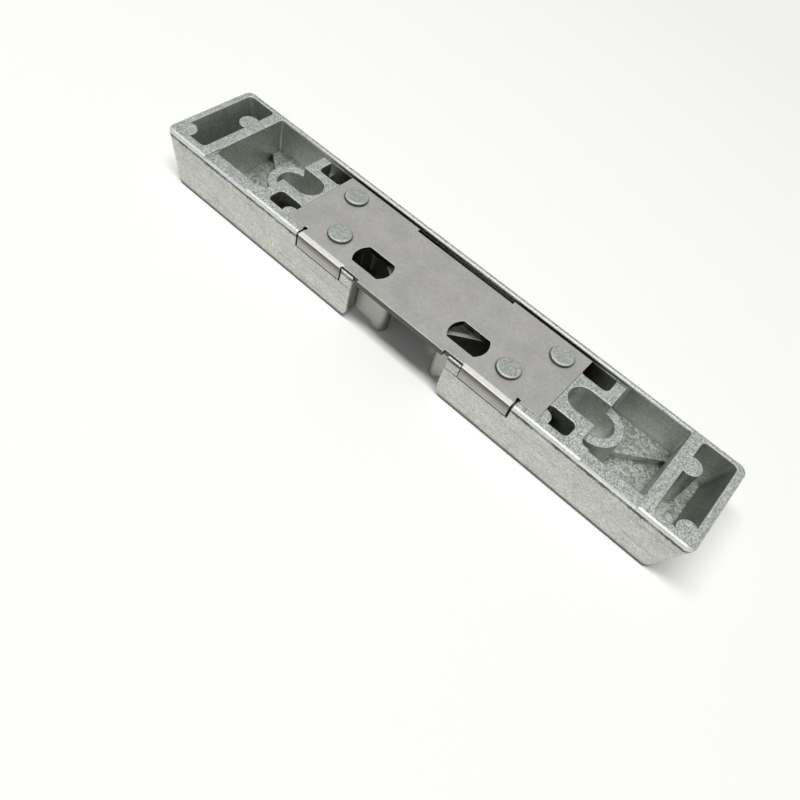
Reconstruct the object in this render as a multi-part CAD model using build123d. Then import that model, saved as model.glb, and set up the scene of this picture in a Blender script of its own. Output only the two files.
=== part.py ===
from build123d import *
import math
import os

# Balcony door catch, frame side. It lies on its face with its open back up, as photographed.
# Millimetres. X runs along the length, Y from the near wall to the far wall, Z up to the back.
# Both halves are alike, so places along X are given once and count from the middle.

# Casing, outside
LENGTH = 100.5
WIDTH = 18.0
HEIGHT = 9.4              # rim of the casing, level with the top of the plate
END_DRAFT = 2.2           # each end leans in by this much at the face
SIDE_DRAFT = 0.25
CORNER_R = 1.4
FACE_EDGE_R = 0.6
RIM_EDGE_R = 0.55

# Casing, walls and floors
SCREW_NEAR_WALL = 2.64    # near wall beside the screw pockets
END_NEAR_WALL = 1.62      # near wall beside the end pockets
JAW_NEAR_WALL = 2.05      # near wall beside the jaws
FAR_WALL = 1.07
END_WALL = 1.45
END_POCKET = 5.75         # length of the end pocket at the rim
CROSS_WALL = 1.9
POCKET_FLOOR = 2.0
POCKET_CORNER_R = 0.8
RIB_CORNER_R = 1.0        # between the rib and the near wall, in the screw pocket
JAW_FLOOR = 1.3
WEB = 2.0                 # thickness of the web over the ends of the jaw room
LIP_DROP = 0.4            # lowered strip of the near rim, over the screw pocket
LIP_FROM_RIB = 1.64
LIP_OVER_WALL = 0.15

# Slotted screw bosses
SCREW_X = 28.8            # middle of the slot
SLOT_WIDTH = 4.8
SLOT_LENGTH = 8.3
BOSS_WALL = 1.5
COLLAR_DROP = 1.9         # the half collar in the pocket stands lower than the web
SINK_WIDTH = 7.9          # countersink at the face
SINK_DEPTH = 1.55
RIB = 1.66                # rib between the jaw room and the screw pocket
RIB_INSET = 0.1           # its inner side, from the middle of the slot

# Raised step in the screw pocket, and round pads in the end pocket
STEP_RISE = 1.2
STEP_ANGLE = 37.1
STEP_INSET = 2.78         # where its edge meets the cross wall, from the far face
PAD_R = 1.6
CORNER_PAD_INSET = 2.4    # from both outer faces at the rim
WALL_PAD_OVERHANG = 0.6   # centre of the other pad, from the cross wall's outer side
WALL_PAD_Y = 2.75

# Windows through the web
WINDOW_UNDER_PLATE = 0.2
WINDOW_INSET = 1.7        # from the outer faces
NEAR_WINDOW_GAP = 0.36    # to the boss
FAR_WINDOW_Y = 3.84
WINDOW_R = 0.9
BUMP_R = 1.3
BUMP_X = 0.4              # from the window's inner end
BUMP_INSET = 2.2
GROOVE_DEPTH = 3.0        # groove along the far wall
FAR_STEP = 0.12           # narrow ledge just under the far rim
FAR_STEP_DROP = 0.8
FAR_EDGE = 0.22           # bevel on the inner edge of the far rim

# Mouth for the sash pin
MOUTH_HALF = 9.24
MOUTH_DEPTH = 12.0
MOUTH_R = 2.0

# Back plate
PLATE_T = 1.0
PLATE_TO_SCREW = 4.7      # plate's end to the middle of the slot
PLATE_FIT = 0.06
PLATE_FAR_INSET = 1.95    # plate's edges from the casing's outer faces
PLATE_NEAR_INSET = 1.5
PLATE_SIDE_INSET = 0.5    # between tab and mouth
SIDE_WALL_INSET = 0.15    # thin wall outside the plate's edge, between tab and mouth
SIDE_WALL_DROP = 0.3
PLATE_SEAT = 0.9          # width of the far ledge that the plate rests on, groove included
PLATE_NOTCH_X = 9.6
PLATE_NOTCH = 0.6
PLATE_LIP_SHORT = 1.0     # the lip over the mouth is shorter than it at each end
GROOVE_UNDER_PLATE = 0.24
RIM_FROM_END = 3.4        # the near rim stops this far inside the plate's end
TAB_FROM_RIM = 0.35
TAB_LENGTH = 8.65
TAB_DEPTH = 2.65
TAB_BEND_R = 1.2          # outside of the bend
TAB_FIT = 0.05
TAB_END_FIT = 0.15
TAB_RELIEF = 0.5          # notch in the plate at the root of the tab
HOLE_X = 9.27
HOLE_INSET = 4.69
HOLE_D = 6.5
HOLE_FLATS = 4.3

# Cast studs that hold the plate
STUD_FAR_FROM_END = 3.6   # from the plate's end
STUD_NEAR_FROM_END = 7.7
STUD_INSET = 4.94         # from the outer faces
STUD_COLUMN_R = 1.6
STUD_NECK_R = 1.3
STUD_HOLE_FIT = 0.05
STUD_HEAD_R = 1.88
STUD_HEAD = 0.42
STUD_HEAD_CHAMFER = 0.15

# Strip jaws
STRIP_T = 0.7
NOSE_R = 1.35             # outside of the bend that meets the pin
NOSE_LEFT_X = -4.72       # as photographed
NOSE_RIGHT_X = 7.08       # as photographed: this jaw stands further back
FLANK_ANGLE = 36.5
JAW_FIT_Y = 0.17
JAW_FIT_Z = 0.1
NOSE_BOTTOM = 0.3
NOSE_STEP_U = 0.9         # the nose is deeper than the arm up to here, from its centre
NOSE_SLOPE = 0.35
HOOK_RISE = 0.43          # tip of the hooked end, from the nose centre
HOOK_FIT = 0.05           # left of the stud that stops the jaw
SEAT_U = 8.9              # nose centre to the face that the spring bears on
TAIL_R = 1.1
HOOK_R = 1.0

# Springs behind the jaws
SPRING_WIRE = 0.5
SPRING_TURNS = 4
SPRING_Y = -0.2
SPRING_GAP = 0.36         # to the nearest stud
SPRING_TO_END = 1.5       # cast pad that the spring bears on, inside the plate's end
SPRING_PAD_OVER = 0.2
SEAT_OVER = 0.1           # the jaw's seat reaches past the spring by this much
SPIGOT_GAP = 0.35
SPIGOT_LENGTH = 1.6

NEAR = -WIDTH / 2
FAR = WIDTH / 2
PLATE_UNDER = HEIGHT - PLATE_T
WEB_UNDER = HEIGHT - WEB
CROSS_X = LENGTH / 2 - END_WALL - END_POCKET - CROSS_WALL
RIB_IN_X = SCREW_X - RIB_INSET
RIB_OUT_X = RIB_IN_X + RIB
BOSS_R = SLOT_WIDTH / 2 + BOSS_WALL
PLATE_X = SCREW_X - PLATE_TO_SCREW
PLATE_FAR_Y = FAR - PLATE_FAR_INSET
PLATE_NEAR_Y = NEAR + PLATE_NEAR_INSET
PLATE_SIDE_Y = NEAR + PLATE_SIDE_INSET
RIM_X = PLATE_X - RIM_FROM_END
TAB_X = RIM_X - TAB_FROM_RIM
TAB_IN_X = TAB_X - TAB_LENGTH
WINDOW_X = PLATE_X - WINDOW_UNDER_PLATE
FAR_STEP_Y = FAR - FAR_WALL - FAR_STEP
STUD_NEAR_X = PLATE_X - STUD_NEAR_FROM_END
STUD_NEAR_Y = NEAR + STUD_INSET
STUD_FAR_X = PLATE_X - STUD_FAR_FROM_END
STUD_FAR_Y = FAR - STUD_INSET
ARM_Y = NEAR + JAW_NEAR_WALL + JAW_FIT_Y
NOSE_Y = ARM_Y + NOSE_R
HOOK_Y = NOSE_Y + HOOK_RISE
SPRING_R = SPRING_Y - STUD_NEAR_Y - STUD_COLUMN_R - SPRING_GAP
SPRING_Z = (JAW_FLOOR + PLATE_UNDER) / 2
SPRING_SEAT_X = PLATE_X - SPRING_TO_END
OVER = 0.6                # how far a cut runs past the face it leaves


def block(x0, x1, y0, y1, z0, z1):
    return Pos((x0 + x1) / 2, (y0 + y1) / 2, (z0 + z1) / 2) * Box(x1 - x0, y1 - y0, z1 - z0)


def post(x, y, r, z0, z1):
    return Pos(x, y, (z0 + z1) / 2) * Cylinder(r, z1 - z0)


def both(shape):
    return shape + mirror(shape, about=Plane.YZ)


def prism(points, z0, z1):
    return extrude(Pos(0, 0, z0) * make_face(Polyline(*points, close=True)), z1 - z0)


def along_x(points, x0, x1):
    # points are (y, z)
    return Pos(x0, 0, 0) * extrude(Plane.YZ * make_face(Polyline(*points, close=True)), x1 - x0)


def along_y(points, y0, y1):
    # points are (x, z)
    return Pos(0, y0, 0) * extrude(Plane.XZ * make_face(Polyline(*points, close=True)), y0 - y1)


def rounded(x0, x1, y0, y1, z0, z1, r):
    face = Pos((x0 + x1) / 2, (y0 + y1) / 2, z0) * RectangleRounded(x1 - x0, y1 - y0, r)
    return extrude(face, z1 - z0)


def upright(shape):
    return shape.edges().filter_by(lambda e: abs((e @ 1 - e @ 0).Z) > e.length / 2)


def slot_face(width, z):
    return Pos(SCREW_X, 0, z) * SlotCenterToCenter(SLOT_LENGTH - SLOT_WIDTH, width)


def end_face_x(z):
    return LENGTH / 2 - END_DRAFT * (1 - z / HEIGHT)


def outer_block():
    ends = along_y([(-end_face_x(0), 0), (end_face_x(0), 0), (end_face_x(HEIGHT), HEIGHT),
                    (-end_face_x(HEIGHT), HEIGHT)], NEAR, FAR)
    sides = along_x([(NEAR + SIDE_DRAFT, 0), (FAR - SIDE_DRAFT, 0), (FAR, HEIGHT), (NEAR, HEIGHT)],
                    -LENGTH, LENGTH)
    body = ends & sides
    body = fillet(upright(body), CORNER_R)
    body = fillet(body.edges().group_by(Axis.Z)[0], FACE_EDGE_R)
    return fillet(body.edges().group_by(Axis.Z)[-1], RIM_EDGE_R)


def wall_pad_x():
    return CROSS_X + CROSS_WALL + WALL_PAD_OVERHANG


def end_pocket():
    # its outer side follows the sloping end wall
    x0, top = CROSS_X + CROSS_WALL, HEIGHT + OVER
    pocket = along_y([(x0, POCKET_FLOOR), (end_face_x(POCKET_FLOOR) - END_WALL, POCKET_FLOOR),
                      (end_face_x(top) - END_WALL, top), (x0, top)], NEAR + END_NEAR_WALL, FAR - FAR_WALL)
    pocket = fillet(upright(pocket), POCKET_CORNER_R)
    pocket -= post(LENGTH / 2 - CORNER_PAD_INSET, NEAR + CORNER_PAD_INSET, PAD_R, 0, 2 * HEIGHT)
    return pocket - post(wall_pad_x(), WALL_PAD_Y, PAD_R, 0, 2 * HEIGHT)


def boss(top):
    return extrude(slot_face(2 * BOSS_R, 0), top)


def screw_pocket():
    pocket = rounded(RIB_OUT_X, CROSS_X, NEAR + SCREW_NEAR_WALL, FAR - FAR_WALL,
                     POCKET_FLOOR, HEIGHT + OVER, POCKET_CORNER_R / 2)
    x, y, r = RIB_OUT_X, NEAR + SCREW_NEAR_WALL, RIB_CORNER_R
    pocket -= block(x, x + r, y, y + r, 0, 2 * HEIGHT) - post(x + r, y + r, r, 0, 2 * HEIGHT)
    pocket -= boss(HEIGHT - COLLAR_DROP)
    slope = math.tan(math.radians(STEP_ANGLE))
    end_y = FAR - STEP_INSET + slope * OVER
    start_y = end_y - slope * (CROSS_X + OVER - SCREW_X)
    step = prism([(SCREW_X, start_y), (CROSS_X + OVER, end_y), (CROSS_X + OVER, FAR), (SCREW_X, FAR)],
                 0, POCKET_FLOOR + STEP_RISE)
    return pocket - step


def screw_slot():
    through = extrude(slot_face(SLOT_WIDTH, -OVER), HEIGHT + 2 * OVER)
    sink = loft([slot_face(SINK_WIDTH, 0), slot_face(SLOT_WIDTH, SINK_DEPTH)], ruled=True)
    return through + sink


def far_groove(x0, x1):
    top = HEIGHT + OVER
    groove = block(x0, x1, PLATE_FAR_Y - GROOVE_UNDER_PLATE, FAR_STEP_Y, HEIGHT - GROOVE_DEPTH, top)
    return groove + block(x0, x1, FAR_STEP_Y - OVER, FAR - FAR_WALL, HEIGHT - FAR_STEP_DROP, top)


def far_bevel():
    y = FAR - FAR_WALL
    return along_x([(y, HEIGHT - FAR_EDGE), (y + FAR_EDGE + OVER, HEIGHT + OVER), (y, HEIGHT + OVER)],
                   -OVER, CROSS_X - POCKET_CORNER_R / 2)


def window_bump():
    return post(WINDOW_X + BUMP_X, NEAR + BUMP_INSET, BUMP_R, 0, 2 * HEIGHT)


def windows():
    near = rounded(WINDOW_X, RIB_IN_X, NEAR + WINDOW_INSET, -BOSS_R - NEAR_WINDOW_GAP,
                   WEB_UNDER - OVER, HEIGHT + OVER, WINDOW_R)
    far = rounded(WINDOW_X, RIB_IN_X, FAR_WINDOW_Y, FAR - WINDOW_INSET,
                  WEB_UNDER - OVER, HEIGHT + OVER, WINDOW_R)
    return near - window_bump() + far + far_groove(PLATE_X, RIB_OUT_X + OVER)


def jaw_room():
    # one half, from the middle outwards
    near_y = NEAR + JAW_NEAR_WALL
    room = block(-OVER, PLATE_NOTCH_X, near_y, FAR_STEP_Y, JAW_FLOOR, HEIGHT)
    room += block(PLATE_NOTCH_X - OVER, WINDOW_X, near_y, PLATE_FAR_Y - PLATE_SEAT, JAW_FLOOR, HEIGHT)
    room += block(WINDOW_X - OVER, RIB_IN_X, NEAR + WINDOW_INSET, FAR_STEP_Y, JAW_FLOOR, WEB_UNDER)
    room -= boss(HEIGHT)
    pad = SPRING_R + SPRING_PAD_OVER
    room -= block(SPRING_SEAT_X, SCREW_X, SPRING_Y - pad, SPRING_Y + pad, 0, HEIGHT)
    room -= window_bump()
    room -= post(STUD_NEAR_X, STUD_NEAR_Y, STUD_COLUMN_R, 0, HEIGHT)
    room -= post(STUD_FAR_X, STUD_FAR_Y, STUD_COLUMN_R, 0, HEIGHT)
    room -= block(STUD_FAR_X - STUD_COLUMN_R / 2, STUD_FAR_X + STUD_COLUMN_R / 2, STUD_FAR_Y, FAR, 0, HEIGHT)
    return room - spigot()


def spigot():
    lie = Pos(SPRING_SEAT_X + (OVER - SPIGOT_LENGTH) / 2, SPRING_Y, SPRING_Z) * Rot(0, 90, 0)
    return lie * Cylinder(SPRING_R - SPRING_WIRE - SPIGOT_GAP, SPIGOT_LENGTH + OVER)


def plate_recess():
    top = HEIGHT + OVER
    room = block(-OVER, PLATE_X + PLATE_FIT, PLATE_NEAR_Y - PLATE_FIT, FAR_STEP_Y, PLATE_UNDER, top)
    room += far_groove(-OVER, PLATE_X + OVER)
    tab_in, z = TAB_IN_X - TAB_END_FIT, HEIGHT - TAB_DEPTH - TAB_END_FIT
    # between tab and mouth a thin wall stands outside the plate's edge
    room += block(-OVER, tab_in + OVER, PLATE_SIDE_Y - PLATE_FIT, PLATE_NEAR_Y, PLATE_UNDER, top)
    room += block(-OVER, tab_in + OVER, NEAR - OVER, PLATE_NEAR_Y, HEIGHT - SIDE_WALL_DROP, top)
    room += block(-OVER, tab_in + OVER, NEAR - OVER, NEAR + SIDE_WALL_INSET, z, top)
    room += block(tab_in, RIM_X, NEAR - OVER, PLATE_NEAR_Y, PLATE_UNDER, top)
    # face that the hook tab lies on; the edge above it clears the inside of the bend
    y, c = NEAR + PLATE_T + TAB_FIT, TAB_BEND_R - PLATE_T + TAB_END_FIT
    face = [(NEAR - OVER, z), (y, z), (y, PLATE_UNDER - c), (y + c, PLATE_UNDER),
            (y + c, HEIGHT), (NEAR - OVER, HEIGHT)]
    return room + along_x(face, tab_in, RIM_X)


def mouth():
    # flared at the face, so that both edges of the near wall are round
    half = MOUTH_HALF + MOUTH_R
    flare = Rectangle(2 * half, 2 * MOUTH_R)
    flare -= Pos(-half, MOUTH_R) * Circle(MOUTH_R)
    flare -= Pos(half, MOUTH_R) * Circle(MOUTH_R)
    opening = Pos(0, NEAR - OVER, 0) * extrude(Plane.XZ * flare, -MOUTH_DEPTH - OVER)
    opening += block(-MOUTH_HALF, MOUTH_HALF, NEAR - OVER, NEAR + MOUTH_DEPTH, 0, JAW_FLOOR + OVER)
    return opening + block(-MOUTH_HALF, MOUTH_HALF, NEAR - OVER, NEAR + JAW_NEAR_WALL + OVER, 0, HEIGHT + OVER)


def stud(x, y):
    shank = post(x, y, STUD_NECK_R, PLATE_UNDER - OVER, HEIGHT + STUD_HEAD / 2)
    head = post(x, y, STUD_HEAD_R, HEIGHT, HEIGHT + STUD_HEAD)
    return shank + chamfer(head.edges().group_by(Axis.Z)[-1], STUD_HEAD_CHAMFER)


def casing():
    half = end_pocket() + screw_pocket() + jaw_room() + windows() + plate_recess() + far_bevel()
    half += block(RIB_OUT_X + LIP_FROM_RIB, CROSS_X + LIP_OVER_WALL, NEAR - OVER,
                  NEAR + SCREW_NEAR_WALL + OVER, HEIGHT - LIP_DROP, HEIGHT + OVER)
    body = outer_block() - both(half) - mouth() - both(screw_slot())
    return body + both(stud(STUD_NEAR_X, STUD_NEAR_Y) + stud(STUD_FAR_X, STUD_FAR_Y))


def hook_tab():
    # flat over the wall, then bent down its outside
    section = [(PLATE_NEAR_Y + OVER, HEIGHT), (NEAR, HEIGHT), (NEAR, HEIGHT - TAB_DEPTH),
               (NEAR + PLATE_T, HEIGHT - TAB_DEPTH), (NEAR + PLATE_T, PLATE_UNDER),
               (PLATE_NEAR_Y + OVER, PLATE_UNDER)]
    tab = along_x(section, TAB_IN_X, TAB_X)
    bends = tab.edges().filter_by(Axis.X)
    outer = bends.sort_by_distance((TAB_X, NEAR, HEIGHT))[0]
    inner = bends.sort_by_distance((TAB_X, NEAR + PLATE_T, PLATE_UNDER))[0]
    return fillet(fillet(tab.edges() & [outer], TAB_BEND_R).edges() & [inner], TAB_BEND_R - PLATE_T)


def back_plate():
    far_y, lip_x = PLATE_FAR_Y - PLATE_NOTCH, MOUTH_HALF - PLATE_LIP_SHORT
    outline = [(0, NEAR), (lip_x, NEAR), (lip_x, PLATE_SIDE_Y), (TAB_IN_X, PLATE_SIDE_Y),
               (TAB_IN_X, PLATE_NEAR_Y), (PLATE_X, PLATE_NEAR_Y), (PLATE_X, PLATE_FAR_Y),
               (PLATE_NOTCH_X, PLATE_FAR_Y), (PLATE_NOTCH_X, far_y), (0, far_y)]
    half = prism(outline, PLATE_UNDER, HEIGHT) + hook_tab()
    low, high = PLATE_UNDER - OVER, HEIGHT + OVER
    half -= block(RIM_X - TAB_RELIEF, RIM_X + TAB_END_FIT, PLATE_NEAR_Y - TAB_END_FIT,
                  PLATE_NEAR_Y + TAB_RELIEF, low, high)
    y = NEAR + HOLE_INSET
    flats = block(HOLE_X - HOLE_D, HOLE_X + HOLE_D, y - HOLE_FLATS / 2, y + HOLE_FLATS / 2, low, high)
    half -= post(HOLE_X, y, HOLE_D / 2, low, high) & flats
    half -= post(STUD_NEAR_X, STUD_NEAR_Y, STUD_NECK_R + STUD_HOLE_FIT, low, high)
    half -= post(STUD_FAR_X, STUD_FAR_Y, STUD_NECK_R + STUD_HOLE_FIT, low, high)
    return both(half)


def arm_length():
    # nose centre to the inside of the hook, which meets the stud when the left jaw is fully out
    reach = math.sqrt(STUD_COLUMN_R ** 2 - (HOOK_Y - STUD_NEAR_Y) ** 2)
    return STUD_NEAR_X + reach + HOOK_FIT - abs(NOSE_LEFT_X)


def jaw_strip_face():
    # one bent strip seen from the back, u outwards from the nose centre, v = Y
    a = math.radians(FLANK_ANGLE)
    rise = math.tan(a)

    def far_side(u):
        return NOSE_Y + NOSE_R / math.cos(a) + u * rise

    def near_side(u):
        return far_side(u) - STRIP_T / math.cos(a)

    apex_out = (ARM_Y - far_side(0)) / rise
    apex_in = (ARM_Y + STRIP_T - near_side(0)) / rise
    hook_in = arm_length()
    hook_out = hook_in + STRIP_T
    seat_in = SEAT_U - STRIP_T
    tip_y = SPRING_Y - SPRING_R - SEAT_OVER
    corners = [
        ((hook_out, ARM_Y), HOOK_R), ((apex_out, ARM_Y), NOSE_R), ((SEAT_U, far_side(SEAT_U)), TAIL_R),
        ((SEAT_U, tip_y), 0), ((seat_in, tip_y), 0), ((seat_in, near_side(seat_in)), TAIL_R - STRIP_T),
        ((apex_in, ARM_Y + STRIP_T), NOSE_R - STRIP_T), ((hook_in, ARM_Y + STRIP_T), HOOK_R - STRIP_T),
        ((hook_in, HOOK_Y), 0), ((hook_out, HOOK_Y), 0)]
    face = make_face(Polyline(*[p for p, r in corners], close=True))
    for p, r in corners:
        if r > 0:
            face = fillet(face.vertices().sort_by_distance(p)[0], r)
    return face


def jaw(nose_x):
    face = jaw_strip_face()
    bottom = JAW_FLOOR + JAW_FIT_Z
    strip = extrude(Pos(0, 0, bottom) * face, PLATE_UNDER - JAW_FIT_Z - bottom)
    deep = extrude(Pos(0, 0, NOSE_BOTTOM) * face, bottom - NOSE_BOTTOM)
    deep &= along_y([(-2 * NOSE_R, NOSE_BOTTOM), (NOSE_STEP_U - NOSE_SLOPE, NOSE_BOTTOM),
                     (NOSE_STEP_U, bottom), (-2 * NOSE_R, bottom)], NEAR, FAR)
    shape = strip + deep
    if nose_x < 0:
        shape = mirror(shape, about=Plane.YZ)
    return Pos(nose_x, 0, 0) * shape


def half_turn(r, pitch, k):
    # two arcs that meet each other and the next half turn without a kink
    slope = Vector(0, (-1) ** k * r, pitch / (2 * math.pi)).normalized()
    start = Vector((-1) ** k * r, 0, k * pitch / 2)
    end = Vector(-start.X, 0, start.Z + pitch / 2)
    leave, arrive = slope, Vector(0, -slope.Y, slope.Z)
    gap = end - start
    a, b = 2 * (1 - leave.dot(arrive)), 2 * gap.dot(leave + arrive)
    d = (math.sqrt(b * b + 4 * a * gap.dot(gap)) - b) / (2 * a)
    corner = start + leave * d
    middle = (corner + end - arrive * d) / 2
    return [TangentArc(start, middle, tangent=leave), TangentArc(middle, end, tangent=middle - corner)]


def jaw_spring(nose_x):
    # open coil between the jaw's seat and the cast pad, its ends just touching both
    r = SPRING_R - SPRING_WIRE / 2
    start = abs(nose_x) + SEAT_U + SPRING_WIRE / 2
    length = SPRING_SEAT_X - SPRING_WIRE / 2 - start
    pitch = length / SPRING_TURNS
    path = Wire([arc.edge() for k in range(2 * SPRING_TURNS) for arc in half_turn(r, pitch, k)])
    wire = sweep(Plane(origin=path @ 0, z_dir=path % 0) * RegularPolygon(SPRING_WIRE / 2, 6), path=path)
    coil = Pos(start, SPRING_Y, SPRING_Z) * Rot(0, 90, 0) * wire
    print("spring pitch", round(pitch, 3), "least gap to itself", round(least_gap(path, pitch), 3))
    if nose_x < 0:
        coil = mirror(coil, about=Plane.YZ)
    return coil


def least_gap(path, pitch):
    # between points of the coil that lie about a turn apart
    points = [path @ (i / 240) for i in range(241)]
    per_turn = 240 // SPRING_TURNS
    pairs = [(i, j) for i in range(241) for j in range(i + per_turn // 2, min(241, i + 3 * per_turn // 2))]
    return min((points[i] - points[j]).length for i, j in pairs) - SPRING_WIRE


PARTS = {
    "casing": casing,
    "back_plate": back_plate,
    "jaw_left": lambda: jaw(NOSE_LEFT_X),
    "jaw_right": lambda: jaw(NOSE_RIGHT_X),
    "jaw_spring_left": lambda: jaw_spring(NOSE_LEFT_X),
    "jaw_spring_right": lambda: jaw_spring(NOSE_RIGHT_X),
}

if __name__ == "__main__":
    os.makedirs("parts", exist_ok=True)
    for name, make in PARTS.items():
        shape = make()
        box = shape.bounding_box()
        print(name, "solids", len(shape.solids()), "volume", round(shape.volume, 1),
              [round(v, 2) for v in (*box.min, *box.max)])
        export_step(shape, f"parts/{name}.step")
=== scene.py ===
import math

import bmesh
import bpy
from bpy.props import FloatProperty, IntProperty, PointerProperty, StringProperty
from mathutils import Matrix, Vector


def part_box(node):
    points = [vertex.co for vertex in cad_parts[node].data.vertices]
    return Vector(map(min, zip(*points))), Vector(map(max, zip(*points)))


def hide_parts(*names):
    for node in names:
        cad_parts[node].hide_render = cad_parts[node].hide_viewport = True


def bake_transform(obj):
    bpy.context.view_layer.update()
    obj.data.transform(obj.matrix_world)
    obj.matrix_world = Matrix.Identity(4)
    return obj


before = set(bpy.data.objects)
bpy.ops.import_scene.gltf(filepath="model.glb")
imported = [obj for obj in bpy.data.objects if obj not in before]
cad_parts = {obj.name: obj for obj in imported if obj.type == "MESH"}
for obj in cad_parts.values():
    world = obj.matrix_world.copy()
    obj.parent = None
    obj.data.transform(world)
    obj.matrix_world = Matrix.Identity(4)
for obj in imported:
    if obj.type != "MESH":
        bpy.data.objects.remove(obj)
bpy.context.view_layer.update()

bl_info = {
    "name": "Balcony door catch",
    "version": (1, 0, 0),
    "blender": (4, 5, 0),
    "location": "View3D > Sidebar > Door catch",
    "description": "Finishes, springs and photo stage of a frame-side balcony door catch",
    "category": "Object",
}

MM = 0.001

# the near and the far stud of each side, from the middle of the catch
STUDS = ((16.4 * MM, -4.06 * MM, 0.0), (20.5 * MM, 4.06 * MM, 0.0))

# Where each finish sets in, from none to full: heights along Z, and places along X or Y, which count
# from the middle of the catch.
# Housing: the rim, the webs with the bosses, and the peened stud heads
RIM_UP = (8.78 * MM, 8.92 * MM)
WEBS_UP = (7.0 * MM, 7.4 * MM)
HEADS_UP = (9.41 * MM, 9.45 * MM)
# Housing: the outer walls, how far the end ones lean out for each mm of height, the painted dark line
# under the rim, and the painted shade along the foot
LONG_WALLS = (8.35 * MM, 8.5 * MM)
END_WALLS = (47.2 * MM, 47.5 * MM)
END_LEAN = 0.234
RIM_SHADE_FOOT = (8.96 * MM, 9.01 * MM)
RIM_SHADE_HEAD = (9.6 * MM, 9.55 * MM)
WALL_FOOT_SHADE = (0.9 * MM, 0.45 * MM)
# Housing: painted shade in the jaw room and in the far groove, and the wrinkled pocket floors
ROOM_LONG = (28.0 * MM, 24.0 * MM)
ROOM_LOW = (1.0 * MM, 1.4 * MM)
ROOM_HIGH = (8.2 * MM, 7.6 * MM)
GROOVE_FAR = (6.9 * MM, 7.1 * MM)
GROOVE_LOW = (9.15 * MM, 9.0 * MM)
FLOORS_LOW = (6.0 * MM, 5.0 * MM)
# Housing: the painted highlight along the near rim, and the painted highlight line along the far one
NEAR_RIM_HIGHLIGHT = (-8.15 * MM, -8.25 * MM)
FAR_LINE_START = (7.80 * MM, 7.88 * MM)
FAR_LINE_END = (8.24 * MM, 8.16 * MM)
FAR_LINE_LONG = (36.0 * MM, 28.0 * MM)
# Plate: the two tabs, the painted dark reflection and the painted highlight on their bends, the painted
# highlight along the upper face's edges, and the painted shade round a stud, from the stud's middle
TABS_LONG = (11.5 * MM, 11.6 * MM)
TABS_NEAR = (-7.7 * MM, -7.9 * MM)
BEND_REFLECTION_TOP = (9.22 * MM, 9.10 * MM)
BEND_REFLECTION_FOOT = (7.8 * MM, 9.0 * MM)
BEND_HIGHLIGHT_TOP = (9.13 * MM, 9.23 * MM)
BEND_HIGHLIGHT_START = (-8.12 * MM, -8.22 * MM)
SHEET_TOP = (9.2 * MM, 9.3 * MM)
HEAD_RING_SHADE = (1.95 * MM, 2.1 * MM)
# Plate: tones over the first millimetre of a tab, each at its share of the way up: a painted shade line
# at the foot, then a lighter band
TAB_BANDS = ((0.15, 0.05), (0.25, 0.68), (0.38, 1.0), (0.5, 0.68))
# how many rays look for an edge or a corner at each point
CORNER_SAMPLES = 6

# the round spring wire: sides of its section, steps in a turn, and pitch of the closed turns in wires
WIRE_SIDES = 14
TURN_STEPS = 28
CLOSED_PITCH = 1.03

# each lamp's place, its size in metres and its power in watts
LONG_LAMP = ((-0.04, -0.10, 0.70), (0.70, 0.16), 4.9)
SOFT_BOX = ((-0.04, -0.10, 0.71), (0.80, 0.40), 1.6)
# the camera as fitted to the photo: its place, and which way its picture's right and up point
CAMERA_PLACE = (33.85 * MM, -73.1 * MM, 88.6 * MM)
CAMERA_RIGHT = (0.73916, 0.64170, 0.20458)
CAMERA_UP = (-0.62690, 0.54445, 0.55729)
SENSOR_WIDTH = 36.0
# how far the table lies under the catch, so that the two don't lie in one plane
TABLE_DROP = 0.01 * MM
# how far from the catch the table's glow rises to its full strength and falls again, in metres
GLOW_RISE = (0.15, 0.7)
GLOW_FALL = (0.9, 2.0)
WHITE = (1.0, 1.0, 1.0, 1.0)
# how bright the backdrop is at the horizon and overhead, and the room's own light, a little blue
BACKDROP = (0.5, 0.86)
ROOM_LIGHT = 0.22
ROOM_TINT = (0.97, 0.99, 1.0, 1.0)


class CatchFinish(bpy.types.PropertyGroup):
    zinc: StringProperty(name="Zinc", description="Outer walls of the housing, as sRGB hex",
                         default="#C3C4BE")
    zinc_inside: StringProperty(name="Zinc inside", description="Walls of the pockets",
                                default="#C5C8C2")
    zinc_top: StringProperty(name="Zinc on top", description="Rim, webs and stud heads",
                             default="#B4B8B5")
    # edges rubbed bright, and the painted highlights on the rims and along the sheet's upper edges
    zinc_wear_and_highlight: StringProperty(name="Rubbed zinc", description="Edges rubbed bright in tumbling",
                                default="#E4E5E2")
    plate: StringProperty(name="Plate", description="Zinc-coated sheet", default="#BAB9B6")
    plate_dull: StringProperty(name="Dull plate", description="Handling marks on the sheet",
                               default="#A9A8A5")
    # the painted dark reflection on the lower half of the tabs' bends
    plate_bend_reflection: StringProperty(name="Drawn sheet", description="Sheet darkened where the die bent it",
                                default="#605C52")
    # the painted highlight at the top of the tabs' bends
    plate_bend_highlight: StringProperty(name="Burnished sheet",
                                    description="Sheet rubbed bright at the top of the bend",
                                    default="#EFEEEB")
    # the darker colour given to the sheared edges
    plate_cut: StringProperty(name="Cut edge", description="Bare steel of the sheared edges",
                              default="#5A5854")
    strip: StringProperty(name="Strip", description="Bent strip of the jaws", default="#A3A39C")
    wire: StringProperty(name="Wire", description="Spring wire", default="#7F8082")
    grain: FloatProperty(name="Cast grain", description="Width of one grain of the cast skin",
                         default=0.16 * MM, min=0.05 * MM, unit="LENGTH")
    draw_line: FloatProperty(name="Draw line",
                             description="Spacing of the lines drawn over the bent tabs",
                             default=0.22 * MM, min=0.05 * MM, unit="LENGTH")


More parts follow.
